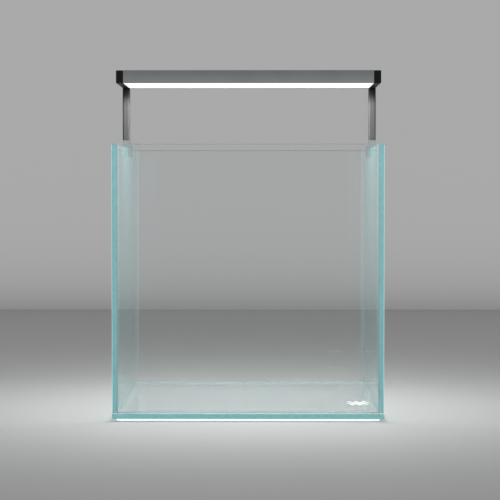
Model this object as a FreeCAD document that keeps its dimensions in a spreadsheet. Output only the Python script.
import FreeCAD, Part
import math
import os
import re

import Sketcher
from FreeCAD import Rotation, Vector

# A rimless glass aquarium and the LED lamp that stands on its side panes, in millimetres.
# The origin is the centre of the levelling mat's underside. +Z is up and the front is at -Y.

DIMENSIONS = [
    ("tank_width", 300, "glass box, left to right"),
    ("tank_depth", 300, "glass box, front to rear"),
    ("tank_height", 303, "glass box, base to rim"),
    ("glass_thickness", 6, "every pane"),
    ("glass_arris", 0.9, "polished chamfer on every glass edge"),
    ("joint_gap", 0.5, "silicone between two panes"),
    ("bond_line", 0.02, "hairline between silicone and glass"),
    ("bead_leg", 2.5, "silicone bead along the inside corners"),
    ("mat_thickness", 3, "foam levelling mat"),
    ("mat_inset", 4, "mat edge inside the base pane's edge"),
    ("mat_corner", 5, "mat corner radius"),
    ("lamp_setback", 73, "tank front to lamp front"),
    ("lamp_depth", 102, "lamp, front to rear"),
    ("bar_height", 14.8, "lamp thickness"),
    ("lamp_lift", 70.9, "rim to the lamp's underside"),
    ("plate_thickness", 8.2, "end plate and leg, left to right"),
    ("plate_edge", 0.6, "end plate edge chamfer"),
    ("plate_corner", 1.5, "end plate outline radius"),
    ("leg_depth", 12, "leg and rear bay, front to rear"),
    ("leg_bevel", 1.2, "leg's upright edges"),
    ("leg_thread", 12, "tapped hole in the leg's top"),
    ("leg_screw_length", 24, "leg screw"),
    ("leg_screw_inset", 4.7, "leg screw to the lamp's rear"),
    ("shell_wall", 2, "lamp housing walls"),
    ("top_plate", 3, "lamp housing top over the LEDs"),
    ("port_block", 5, "screw port block"),
    ("rib_pitch", 6, "cooling groove spacing"),
    ("groove_width", 2.6, "cooling groove"),
    ("groove_depth", 1.1, "cooling groove"),
    ("diffuser_thickness", 2, "opal panel"),
    ("rebate", 0.8, "ledge that carries the diffuser"),
    ("gasket_thickness", 0.6, "diffuser gasket"),
    ("fit_gap", 0.1, "clearance of pieces that slide together"),
    ("board_length", 276, "LED board"),
    ("board_width", 12, "LED board"),
    ("board_thickness", 1.2, "LED board"),
    ("board_pitch", 32, "LED board spacing"),
    ("chip_length", 3.5, "LED chip"),
    ("chip_width", 2.8, "LED chip"),
    ("chip_height", 0.7, "LED chip"),
    ("chip_pitch", 22, "LED spacing"),
    ("screw_radius", 1.5, "M3 thread"),
    ("screw_clearance", 1.7, "hole in the end plate"),
    ("screw_length", 16, "end screw"),
    ("screw_head", 2.65, "countersunk head radius"),
    ("head_height", 1.2, "countersunk head"),
    ("head_recess", 0.3, "end screw head below the end plate's face"),
    ("leg_head_recess", 0.1, "leg screw head below the end plate's top"),
    ("hex_radius", 1.15, "hexagon recess"),
    ("clip_neck", 9, "rim to the metal leg"),
    ("clip_width", 18, "clip foot, along the rim"),
    ("slot_width", 6.6, "clip slot over the pane"),
    ("slot_depth", 11, "clip slot below the rim"),
    ("rim_gap", 0.05, "clearance of clip and rim"),
    ("prong", 3, "clip prong"),
    ("shoulder", 2.6, "clip foot above the rim"),
    ("shoulder_round", 1.6, "clip foot's upper edge"),
    ("tenon_width", 4, "clip tenon, left to right"),
    ("tenon_depth", 8, "clip tenon, front to rear"),
    ("tenon_height", 11, "clip tenon inside the leg"),
    ("socket_x", 100, "power inlet, right of centre"),
    ("socket_height", 7, "power inlet above the lamp's underside"),
    ("socket_barrel", 3.8, "power inlet thread radius"),
    ("socket_flange", 5, "power inlet flange radius"),
    ("flange_thickness", 1.8, "power inlet flange"),
    ("socket_length", 8, "power inlet behind its flange"),
    ("socket_bore", 2.75, "power inlet bore radius"),
    ("socket_pin", 1, "power inlet centre pin radius"),
    ("nut_flats", 4.5, "power inlet nut, centre to flat"),
    ("nut_thickness", 2, "power inlet nut"),
    ("nut_recess", 5.4, "room for the nut, radius"),
    ("lead_radius", 0.7, "internal lead"),
    ("lead_spacing", 1.8, "between the two leads"),
    ("lead_hole", 1.8, "hole for the leads"),
    ("lead_height", 4.7, "leads above the lamp's underside"),
]
ALIASES = {alias for alias, value, note in DIMENSIONS}
BOARDS = {"front": -1, "middle": 0, "rear": 1}
CHIPS_PER_BOARD = 12
GROOVES = 13
SIDES = {"left": -1, "right": 1}

# Places worked out from the dimensions, as expressions.
RIM = "(mat_thickness + tank_height)"
LAMP_Z = f"({RIM} + lamp_lift)"
LAMP_Y = "(lamp_setback - tank_depth / 2)"
SIDE_X = "(tank_width / 2 - glass_thickness / 2)"
LEG_Y = f"({LAMP_Y} + lamp_depth - leg_depth / 2)"
SHELL_LENGTH = f"(2 * {SIDE_X} - plate_thickness)"
LEG_DROP = "(lamp_lift - clip_neck)"
WALL_BASE = "(mat_thickness + glass_thickness + joint_gap)"
WALL_HEIGHT = "(tank_height - glass_thickness - joint_gap)"
# The lamp's section, from its lower front edge.
PARTITION = "(lamp_depth - leg_depth)"
CHAMBER_BACK = f"({PARTITION} - rebate)"
PARTITION_BACK = f"({PARTITION} - rebate + shell_wall)"
LEDGE = "(diffuser_thickness + gasket_thickness + fit_gap)"
CHAMBER_TOP = "(bar_height - top_plate)"
BAY_TOP = "(bar_height - shell_wall)"
PORTS = [
    ("(shell_wall + 2.3)", f"({CHAMBER_TOP} - 2.2)"),
    (f"({CHAMBER_BACK} - 2.3)", f"({CHAMBER_TOP} - 2.2)"),
    (f"({PARTITION_BACK} + 2.3)", f"({BAY_TOP} - 2.2)"),
]
LEG_SCREW_Y = "(lamp_depth - leg_screw_inset)"

doc = FreeCAD.newDocument("RimlessAquarium")
sheet = doc.addObject("Spreadsheet::Sheet", "Dimensions")
for row, (alias, value, note) in enumerate(DIMENSIONS, start=1):
    sheet.set(f"A{row}", note)
    sheet.set(f"B{row}", str(value))
    sheet.setAlias(f"B{row}", alias)
doc.recompute()

subparts = []


def bound(text):
    """The expression with every alias written as a reference to the sheet."""
    return re.sub(r"[a-z_]+", lambda m: f"Dimensions.{m[0]}" if m[0] in ALIASES else m[0], text)


def number(text):
    """The value of an expression, in millimetres."""
    value = sheet.evalExpression(bound(text))
    return float(getattr(value, "Value", value))


def bind(obj, **properties):
    """Binds properties to expressions; a place is given as x, y and z."""
    for name, text in properties.items():
        path = f"Placement.Base.{name}" if name in "xyz" else name
        obj.setExpression(path, bound(text))


def new_body(name, x="0", y="0", z="0"):
    body = doc.addObject("PartDesign::Body", name)
    bind(body, x=x, y=y, z=z)
    subparts.append(body)
    return body


def new_sketch(body, name, role="XY_Plane", offset="0"):
    sketch = body.newObject("Sketcher::SketchObject", name)
    plane = next(feature for feature in body.Origin.OriginFeatures if feature.Role == role)
    sketch.AttachmentSupport = (plane, [""])
    sketch.MapMode = "FlatFace"
    sketch.setExpression("AttachmentOffset.Base.z", bound(offset))
    return sketch


def locate(sketch, geometry, vertex, u, v):
    """Holds a point of the sketch at two distances from its origin."""
    for kind, text in (("DistanceX", u), ("DistanceY", v)):
        index = sketch.addConstraint(
            Sketcher.Constraint(kind, -1, 1, geometry, vertex, number(text))
        )
        sketch.setExpression(f"Constraints[{index}]", bound(text))


def outline(sketch, points):
    """A closed outline of straight lines through points given as expressions."""
    corners = [Vector(number(u), number(v), 0) for u, v in points]
    first, count = sketch.GeometryCount, len(points)
    for i in range(count):
        sketch.addGeometry(Part.LineSegment(corners[i], corners[(i + 1) % count]), False)
    for i, (u, v) in enumerate(points):
        following = first + (i + 1) % count
        sketch.addConstraint(Sketcher.Constraint("Coincident", first + i, 2, following, 1))
        locate(sketch, first + i, 1, u, v)


def rectangle(sketch, u0, v0, u1, v1):
    outline(sketch, [(u0, v0), (u1, v0), (u1, v1), (u0, v1)])


def centred_rectangle(sketch, width, height):
    rectangle(sketch, f"-{width} / 2", f"-{height} / 2", f"{width} / 2", f"{height} / 2")


def circle(sketch, u, v, radius):
    centre = Vector(number(u), number(v), 0)
    geometry = sketch.addGeometry(Part.Circle(centre, Vector(0, 0, 1), number(radius)), False)
    locate(sketch, geometry, 3, u, v)
    index = sketch.addConstraint(Sketcher.Constraint("Radius", geometry, number(radius)))
    sketch.setExpression(f"Constraints[{index}]", bound(radius))


def extrude(body, kind, sketch, length, name, symmetric=False, reverse=False):
    """A Pad or Pocket of a sketch; a Pocket that removes nothing is an error."""
    before = body.Tip.Shape.Volume if body.Tip and kind == "Pocket" else None
    feature = body.newObject(f"PartDesign::{kind}", name)
    feature.Profile = sketch
    feature.SideType = "Symmetric" if symmetric else "One side"
    feature.Reversed = reverse
    bind(feature, Length=length)
    doc.recompute()
    if before is not None and feature.Shape.Volume >= before:
        raise RuntimeError(f"{name} removes nothing")
    return feature


def dress(body, kind, base, test, size, name):
    """A Chamfer or Fillet on the edges of base whose midpoint and direction pass test."""
    chosen = []
    for number_of_edge, edge in enumerate(base.Shape.Edges, start=1):
        middle = edge.valueAt((edge.FirstParameter + edge.LastParameter) / 2)
        along = edge.tangentAt(edge.FirstParameter)
        if test(edge, middle, along):
            chosen.append(f"Edge{number_of_edge}")
    feature = body.newObject(f"PartDesign::{kind}", name)
    feature.Base = (base, chosen)
    bind(feature, **{"Size" if kind == "Chamfer" else "Radius": size})
    doc.recompute()
    return feature


def near(a, b):
    return abs(a - b) < 1e-4


def group(name, members, x="0", y="0", z="0"):
    """Separate identical solids kept together as one sub-part."""
    compound = doc.addObject("Part::Compound", name)
    compound.Links = members
    bind(compound, x=x, y=y, z=z)
    subparts.append(compound)
    return compound


def box(name, length, width, height, x="0", y="0", z="0"):
    """A block centred left to right and front to rear, standing on its place."""
    block = doc.addObject("Part::Box", name)
    bind(block, Length=length, Width=width, Height=height)
    bind(block, x=f"{x} - {length} / 2", y=f"{y} - {width} / 2", z=z)
    return block


# The glass box.
def make_pane(name, width, depth, height, x="0", y="0", z=WALL_BASE):
    body = new_body(name, x, y, z)
    sketch = new_sketch(body, f"{name}_section")
    centred_rectangle(sketch, width, depth)
    plate = extrude(body, "Pad", sketch, height, f"{name}_plate")
    dress(body, "Chamfer", plate, lambda *edge: True, "glass_arris", f"{name}_arris")


def make_panes():
    make_pane("base_pane", "tank_width", "tank_depth", "glass_thickness", z="mat_thickness")
    for name, sign in (("front_pane", "-"), ("rear_pane", "")):
        place = f"{sign}(tank_depth / 2 - glass_thickness / 2)"
        make_pane(name, "tank_width", "glass_thickness", WALL_HEIGHT, y=place)
    between = "(tank_depth - 2 * glass_thickness - 2 * joint_gap)"
    for name, sign in (("left_pane", "-"), ("right_pane", "")):
        make_pane(name, "glass_thickness", between, WALL_HEIGHT, x=f"{sign}{SIDE_X}")


# The silicone between the panes, with its bead along each inside corner.
def make_corner_seam(end, side):
    name = f"{end}_{side}_seam"
    x_sign, y_sign = ("-" if side == "left" else ""), ("-" if end == "front" else "")
    body = new_body(name, z=f"({WALL_BASE} + bond_line)")
    outer, pane = "tank_width / 2", "tank_width / 2 - glass_thickness"
    face = "tank_depth / 2 - glass_thickness"
    points = [
        (f"({outer})", f"({face} - bond_line)"),
        (f"({outer})", f"({face} - joint_gap + bond_line)"),
        (f"({pane} - bond_line)", f"({face} - joint_gap + bond_line)"),
        (f"({pane} - bond_line)", f"({face} - joint_gap - bead_leg)"),
        (f"({pane} - bead_leg)", f"({face} - bond_line)"),
    ]
    sketch = new_sketch(body, f"{name}_section")
    outline(sketch, [(f"{x_sign}{u}", f"{y_sign}{v}") for u, v in points])
    extrude(body, "Pad", sketch, f"({WALL_HEIGHT} - bond_line)", f"{name}_strip")


def make_base_seam():
    body = new_body("base_seam", z="(mat_thickness + glass_thickness + bond_line)")
    outer = "tank_width"
    inner = "(tank_width - 2 * glass_thickness - 2 * bond_line)"
    open_width = "(tank_width - 2 * glass_thickness - 2 * bead_leg)"
    film = new_sketch(body, "base_film_section")
    centred_rectangle(film, outer, outer)
    centred_rectangle(film, open_width, open_width)
    extrude(body, "Pad", film, "(joint_gap - 2 * bond_line)", "base_film")
    bead = new_sketch(body, "base_bead_section")
    centred_rectangle(bead, inner, inner)
    centred_rectangle(bead, open_width, open_width)
    ring = extrude(body, "Pad", bead, "(joint_gap + bead_leg - 0.1)", "base_bead")
    half, top = number(open_width) / 2, number("joint_gap + bead_leg - 0.1")

    def inside_top(edge, middle, along):
        return near(middle.z, top) and near(max(abs(middle.x), abs(middle.y)), half)

    dress(body, "Chamfer", ring, inside_top, "(bead_leg - 0.15)", "base_bead_slope")


def make_mat():
    body = new_body("levelling_mat")
    sketch = new_sketch(body, "mat_section")
    width, depth = "(tank_width - 2 * mat_inset)", "(tank_depth - 2 * mat_inset)"
    centred_rectangle(sketch, width, depth)
    sheet_of_foam = extrude(body, "Pad", sketch, "mat_thickness", "mat_sheet")
    dress(
        body, "Fillet", sheet_of_foam, lambda edge, middle, along: near(abs(along.z), 1),
        "mat_corner", "mat_corners",
    )


# The lamp: an extruded housing between two end plates, on two legs.
def make_housing():
    body = new_body("lamp_housing", y=LAMP_Y, z=LAMP_Z)
    section = new_sketch(body, "housing_section", "YZ_Plane")
    lip, port = "(shell_wall - rebate)", f"({CHAMBER_TOP} - port_block)"
    front_port, rear_port = "(shell_wall + port_block)", f"({CHAMBER_BACK} - port_block)"
    outline(section, [
        ("0", "0"), (lip, "0"), (lip, LEDGE), ("shell_wall", LEDGE),
        ("shell_wall", port), (front_port, port), (front_port, CHAMBER_TOP),
        (rear_port, CHAMBER_TOP), (rear_port, port), (CHAMBER_BACK, port),
        (CHAMBER_BACK, LEDGE), (PARTITION, LEDGE), (PARTITION, "0"),
        ("lamp_depth", "0"), ("lamp_depth", "bar_height"), ("0", "bar_height"),
    ])
    back, floor = "(lamp_depth - shell_wall)", "(shell_wall * 0.75)"
    block, block_floor = f"({PARTITION_BACK} + port_block)", f"({BAY_TOP} - port_block)"
    outline(section, [
        (PARTITION_BACK, floor), (back, floor), (back, BAY_TOP),
        (block, BAY_TOP), (block, block_floor), (PARTITION_BACK, block_floor),
    ])
    for u, v in PORTS:
        circle(section, u, v, "screw_radius")
    extrude(body, "Pad", section, SHELL_LENGTH, "housing_extrusion", symmetric=True)

    grooves = new_sketch(body, "groove_section", "YZ_Plane")
    for i in range(GROOVES):
        middle = f"(lamp_depth / 2 + {i - GROOVES // 2} * rib_pitch)"
        rectangle(
            grooves, f"({middle} - groove_width / 2)", "(bar_height - groove_depth)",
            f"({middle} + groove_width / 2)", "(bar_height + 1)",
        )
    extrude(body, "Pocket", grooves, f"({SHELL_LENGTH} + 2)", "cooling_grooves", symmetric=True)

    recess = new_sketch(body, "nut_recess_section", "XZ_Plane", f"-{PARTITION_BACK}")
    circle(recess, "socket_x", "socket_height", "nut_recess")
    extrude(body, "Pocket", recess, f"({back} - {PARTITION_BACK})", "nut_recess_cut")
    inlet = new_sketch(body, "inlet_hole_section", "XZ_Plane", f"-({back} - 0.5)")
    circle(inlet, "socket_x", "socket_height", "(socket_barrel + fit_gap)")
    extrude(body, "Pocket", inlet, "(shell_wall + 1)", "inlet_hole")
    leads = new_sketch(body, "lead_hole_section", "XZ_Plane", f"-({CHAMBER_BACK} - 0.5)")
    circle(leads, "socket_x", "lead_height", "lead_hole")
    extrude(body, "Pocket", leads, "(shell_wall + 1)", "lead_hole_cut")


def make_end_plate(side, sign):
    """The plate that closes one end of the housing and carries the leg under its rear end."""
    name = f"{side}_end_plate"
    body = new_body(name, f"({sign} * {SIDE_X})", LAMP_Y, LAMP_Z)
    section = new_sketch(body, f"{name}_section", "YZ_Plane")
    rectangle(section, "0", "0", "lamp_depth", "bar_height")
    plate = extrude(body, "Pad", section, "plate_thickness", f"{name}_plate", symmetric=True)
    outer = sign * number("plate_thickness") / 2

    def corner(edge, middle, along):
        return near(abs(along.x), 1)

    def rim(edge, middle, along):
        return near(abs(middle.x), abs(outer)) and near(along.x, 0)

    rounded = dress(body, "Fillet", plate, corner, "plate_corner", f"{name}_rounds")
    dress(body, "Chamfer", rounded, rim, "plate_edge", f"{name}_edges")

    ports = new_sketch(body, f"{name}_port_section", "YZ_Plane")
    for u, v in PORTS:
        circle(ports, u, v, "screw_clearance")
    drilled = extrude(body, "Pocket", ports, "(plate_thickness + 2)", f"{name}_holes", True)

    def outer_hole(edge, middle, along):
        return near(middle.x, outer) and near(edge.Length, 2 * math.pi * number("screw_clearance"))

    sink = "(head_height + head_recess)"
    dress(body, "Chamfer", drilled, outer_hole, sink, f"{name}_countersinks")
    leg_hole = new_sketch(body, f"{name}_leg_hole_section", offset="-1")
    circle(leg_hole, "0", LEG_SCREW_Y, "screw_clearance")
    drilled = extrude(
        body, "Pocket", leg_hole, "(bar_height + 2)", f"{name}_leg_hole", reverse=True
    )
    top = number("bar_height")

    def top_hole(edge, middle, along):
        return near(middle.z, top) and near(edge.Length, 2 * math.pi * number("screw_clearance"))

    sink = "(head_height + leg_head_recess)"
    dress(body, "Chamfer", drilled, top_hole, sink, f"{name}_leg_countersink")


def make_leg(side, sign):
    """A flat bar with bevelled edges, tapped on top and hollow below for the clip's tenon."""
    name = f"{side}_leg"
    body = new_body(name, f"({sign} * {SIDE_X})", LEG_Y, f"({RIM} + clip_neck)")
    section = new_sketch(body, f"{name}_section")
    centred_rectangle(section, "plate_thickness", "leg_depth")
    bar = extrude(body, "Pad", section, LEG_DROP, f"{name}_bar")
    dress(
        body, "Chamfer", bar, lambda edge, middle, along: near(abs(along.z), 1),
        "leg_bevel", f"{name}_bevels",
    )
    socket = new_sketch(body, f"{name}_socket_section")
    centred_rectangle(socket, "(tenon_width + 2 * fit_gap)", "(tenon_depth + 2 * fit_gap)")
    extrude(body, "Pocket", socket, "(tenon_height + 1)", f"{name}_socket", reverse=True)
    thread = new_sketch(body, f"{name}_thread_section", offset=f"({LEG_DROP} - leg_thread)")
    circle(thread, "0", f"({LEG_SCREW_Y} - lamp_depth + leg_depth / 2)", "screw_radius")
    extrude(body, "Pocket", thread, "(leg_thread + 1)", f"{name}_thread", reverse=True)


def make_diffuser():
    body = new_body("diffuser_panel", y=f"({LAMP_Y} + shell_wall - rebate + fit_gap)",
                    z=f"({LAMP_Z} + fit_gap)")
    sketch = new_sketch(body, "diffuser_section")
    length = f"({SHELL_LENGTH} - 2 * fit_gap)"
    depth = f"({PARTITION} - shell_wall + rebate - 2 * fit_gap)"
    rectangle(sketch, f"-{length} / 2", "0", f"{length} / 2", depth)
    extrude(body, "Pad", sketch, "diffuser_thickness", "diffuser_sheet")


def make_gasket():
    body = new_body("diffuser_gasket", y=f"({LAMP_Y} + {CHAMBER_BACK} / 2 + shell_wall / 2)",
                    z=f"({LAMP_Z} + fit_gap + diffuser_thickness)")
    sketch = new_sketch(body, "gasket_section")
    depth = f"({CHAMBER_BACK} - shell_wall)"
    length = f"({SHELL_LENGTH} - 2 * fit_gap)"
    centred_rectangle(sketch, length, f"({depth} + 1.4 * rebate)")
    centred_rectangle(sketch, f"({length} - 3)", f"({depth} - 0.4)")
    extrude(body, "Pad", sketch, "(gasket_thickness - fit_gap)", "gasket_ring")


def make_led_boards():
    middle = f"({LAMP_Y} + ({CHAMBER_BACK} + shell_wall) / 2)"
    board_z = f"({LAMP_Z} + {CHAMBER_TOP} - board_thickness - fit_gap / 2)"
    for place, step in BOARDS.items():
        y = f"({middle} + {step} * board_pitch)"
        board = box(
            f"led_board_{place}", "board_length", "board_width", "board_thickness",
            y=y, z=board_z,
        )
        subparts.append(board)
        chips = [
            box(
                f"chip_{place}_{i}", "chip_length", "chip_width", "chip_height",
                x=f"({i} - ({CHIPS_PER_BOARD} - 1) / 2) * chip_pitch",
            )
            for i in range(CHIPS_PER_BOARD)
        ]
        group(f"led_chips_{place}", chips, y=y, z=f"({board_z} - chip_height)")


def countersunk_screw(name, length, turn, x="0", y="0", z="0"):
    """A hexagon socket screw with its head at its place, pointing along +Z before the turn."""
    head = doc.addObject("Part::Cone", f"{name}_head")
    bind(head, Radius1="screw_head", Radius2="screw_radius - 0.05", Height="head_height")
    shank = doc.addObject("Part::Cylinder", f"{name}_shank")
    bind(shank, Radius="(screw_radius - 0.05)", Height=length)
    hexagon = doc.addObject("Part::Prism", f"{name}_hexagon")
    hexagon.Polygon = 6
    bind(hexagon, Circumradius="hex_radius", Height="head_height", z="-head_recess")
    solid = doc.addObject("Part::MultiFuse", f"{name}_solid")
    solid.Shapes = [head, shank]
    screw = doc.addObject("Part::Cut", name)
    screw.Base, screw.Tool = solid, hexagon
    screw.Placement.Rotation = turn
    bind(screw, x=x, y=y, z=z)
    return screw


def make_end_screws(side, sign):
    """Three screws that hold an end plate to the housing."""
    turn = Rotation(Vector(0, 1, 0), -90 * sign)
    screws = [
        countersunk_screw(f"{side}_screw_{i}", "screw_length", turn, y=u, z=v)
        for i, (u, v) in enumerate(PORTS)
    ]
    x = f"({sign} * ({SIDE_X} + plate_thickness / 2 - head_recess))"
    group(f"end_screws_{side}", screws, x, LAMP_Y, LAMP_Z)


def make_leg_screws():
    """One screw down through each end plate into its leg."""
    down = Rotation(Vector(1, 0, 0), 180)
    screws = [
        countersunk_screw(f"{side}_leg_screw", "leg_screw_length", down, x=f"{sign} * {SIDE_X}")
        for side, sign in SIDES.items()
    ]
    z = f"({LAMP_Z} + bar_height - leg_head_recess)"
    group("leg_screws", screws, y=f"({LAMP_Y} + {LEG_SCREW_Y})", z=z)


def make_clip(side, sign):
    """A clear foot: a fork over the pane, a neck, and a tenon that the leg stands on."""
    name = f"{side}_clip"
    body = new_body(name, f"({sign} * {SIDE_X})", LEG_Y, RIM)
    half, slot = "(slot_width / 2 + prong)", "(slot_width / 2)"
    foot = new_sketch(body, f"{name}_foot_section", "XZ_Plane")
    outline(foot, [
        (f"-{half}", "-slot_depth"), (f"-{slot}", "-slot_depth"), (f"-{slot}", "rim_gap"),
        (slot, "rim_gap"), (slot, "-slot_depth"), (half, "-slot_depth"),
        (half, "shoulder"), (f"-{half}", "shoulder"),
    ])
    fork = extrude(body, "Pad", foot, "clip_width", f"{name}_fork", symmetric=True)
    top, outside = number("shoulder"), number(half)

    def shoulder_edge(edge, middle, along):
        return near(middle.z, top) and near(abs(middle.x), outside)

    def prong_tip(edge, middle, along):
        return near(middle.z, -number("slot_depth")) and near(abs(along.y), 1)

    fork = dress(body, "Fillet", fork, shoulder_edge, "shoulder_round", f"{name}_shoulders")
    dress(body, "Chamfer", fork, prong_tip, "(prong / 5)", f"{name}_tips")
    for piece, width, depth, low, high in (
        ("neck", "plate_thickness", "leg_depth", "(shoulder / 2)", "(clip_neck - rim_gap)"),
        ("tenon", "tenon_width", "tenon_depth", "(clip_neck / 2)", "(clip_neck + tenon_height)"),
    ):
        sketch = new_sketch(body, f"{name}_{piece}_section", offset=low)
        centred_rectangle(sketch, width, depth)
        extrude(body, "Pad", sketch, f"({high} - {low})", f"{name}_{piece}")


# The power inlet in the housing's rear wall, and its leads to the rear LED board.
def make_power_socket():
    z = f"({LAMP_Z} + socket_height)"
    body = new_body("power_socket", "socket_x", f"({LAMP_Y} + lamp_depth)", z)
    section = new_sketch(body, "socket_section")
    outline(section, [
        ("0", "-socket_length"), ("socket_barrel", "-socket_length"), ("socket_barrel", "0"),
        ("socket_flange", "0"), ("socket_flange", "flange_thickness"),
        ("socket_bore", "flange_thickness"), ("socket_bore", "(1.5 - socket_length)"),
        ("socket_pin", "(1.5 - socket_length)"), ("socket_pin", "(flange_thickness - 1)"),
        ("0", "(flange_thickness - 1)"),
    ])
    turned = body.newObject("PartDesign::Revolution", "socket_turning")
    turned.Profile = section
    turned.ReferenceAxis = (section, ["V_Axis"])
    turned.Angle = 360

    nut = new_body("socket_nut", "socket_x", f"({LAMP_Y} + lamp_depth - shell_wall)", z)
    sketch = new_sketch(nut, "nut_section", "XZ_Plane", "fit_gap")
    flat, half_side = "nut_flats", "(nut_flats / sqrt(3))"
    outline(sketch, [
        (half_side, f"-{flat}"), (f"(2 * {half_side})", "0"), (half_side, flat),
        (f"-{half_side}", flat), (f"-2 * {half_side}", "0"), (f"-{half_side}", f"-{flat}"),
    ])
    circle(sketch, "0", "0", "socket_barrel")
    extrude(nut, "Pad", sketch, "nut_thickness", "nut_ring")


def make_lead(name, sign):
    """A lead from the inlet through the partition and up to the rear LED board."""
    lead = doc.addObject("Part::Feature", name)
    low, high = number("lead_height"), number(f"{CHAMBER_TOP} - board_thickness - fit_gap")
    start = number("lamp_depth - socket_length")
    end = number(f"({CHAMBER_BACK} + shell_wall) / 2 + board_pitch + board_width / 3")
    bend = (high - low) / 2
    mid = (low + high) / 2
    turn = end + bend
    path = Part.Wire([
        Part.LineSegment(Vector(0, start, low), Vector(0, turn, low)).toShape(),
        Part.Arc(
            Vector(0, turn, low),
            Vector(0, turn - bend * math.sin(math.pi / 4), mid - bend * math.cos(math.pi / 4)),
            Vector(0, turn - bend, mid),
        ).toShape(),
        Part.LineSegment(Vector(0, end, mid), Vector(0, end, high)).toShape(),
    ])
    radius = number("lead_radius")
    ring = Part.Wire([Part.Circle(Vector(0, start, low), Vector(0, -1, 0), radius).toShape()])
    tube = path.makePipeShell([ring], True, False)
    if abs(tube.Volume / (path.Length * math.pi * radius**2) - 1) > 0.02:
        raise RuntimeError(f"{name} isn't a full tube")
    lead.Shape = tube
    place = f"(socket_x + {sign} * lead_spacing / 2)"
    bind(lead, x=place, y=LAMP_Y, z=LAMP_Z)
    subparts.append(lead)


make_mat()
make_panes()
make_base_seam()
for end in ("front", "rear"):
    for side in SIDES:
        make_corner_seam(end, side)
make_housing()
make_diffuser()
make_gasket()
make_led_boards()
for side, sign in SIDES.items():
    make_end_plate(side, sign)
    make_leg(side, sign)
    make_end_screws(side, sign)
    make_clip(side, sign)
make_leg_screws()
make_power_socket()
make_lead("positive_lead", 1)
make_lead("negative_lead", -1)
doc.recompute()

for item in doc.Objects:
    if {"Invalid", "Error"} & set(item.State):
        raise RuntimeError(f"{item.Label} failed: {item.State}")
for subpart in subparts:
    if subpart.Shape.isNull() or not subpart.Shape.isValid():
        raise RuntimeError(f"{subpart.Label} has no valid shape")

os.makedirs("parts", exist_ok=True)
for subpart in subparts:
    subpart.Shape.exportStep(f"parts/{subpart.Label}.step")
    size = subpart.Shape.BoundBox
    print(f"{subpart.Label}: {len(subpart.Shape.Solids)} solids, "
          f"{size.XLength:.2f} x {size.YLength:.2f} x {size.ZLength:.2f}")
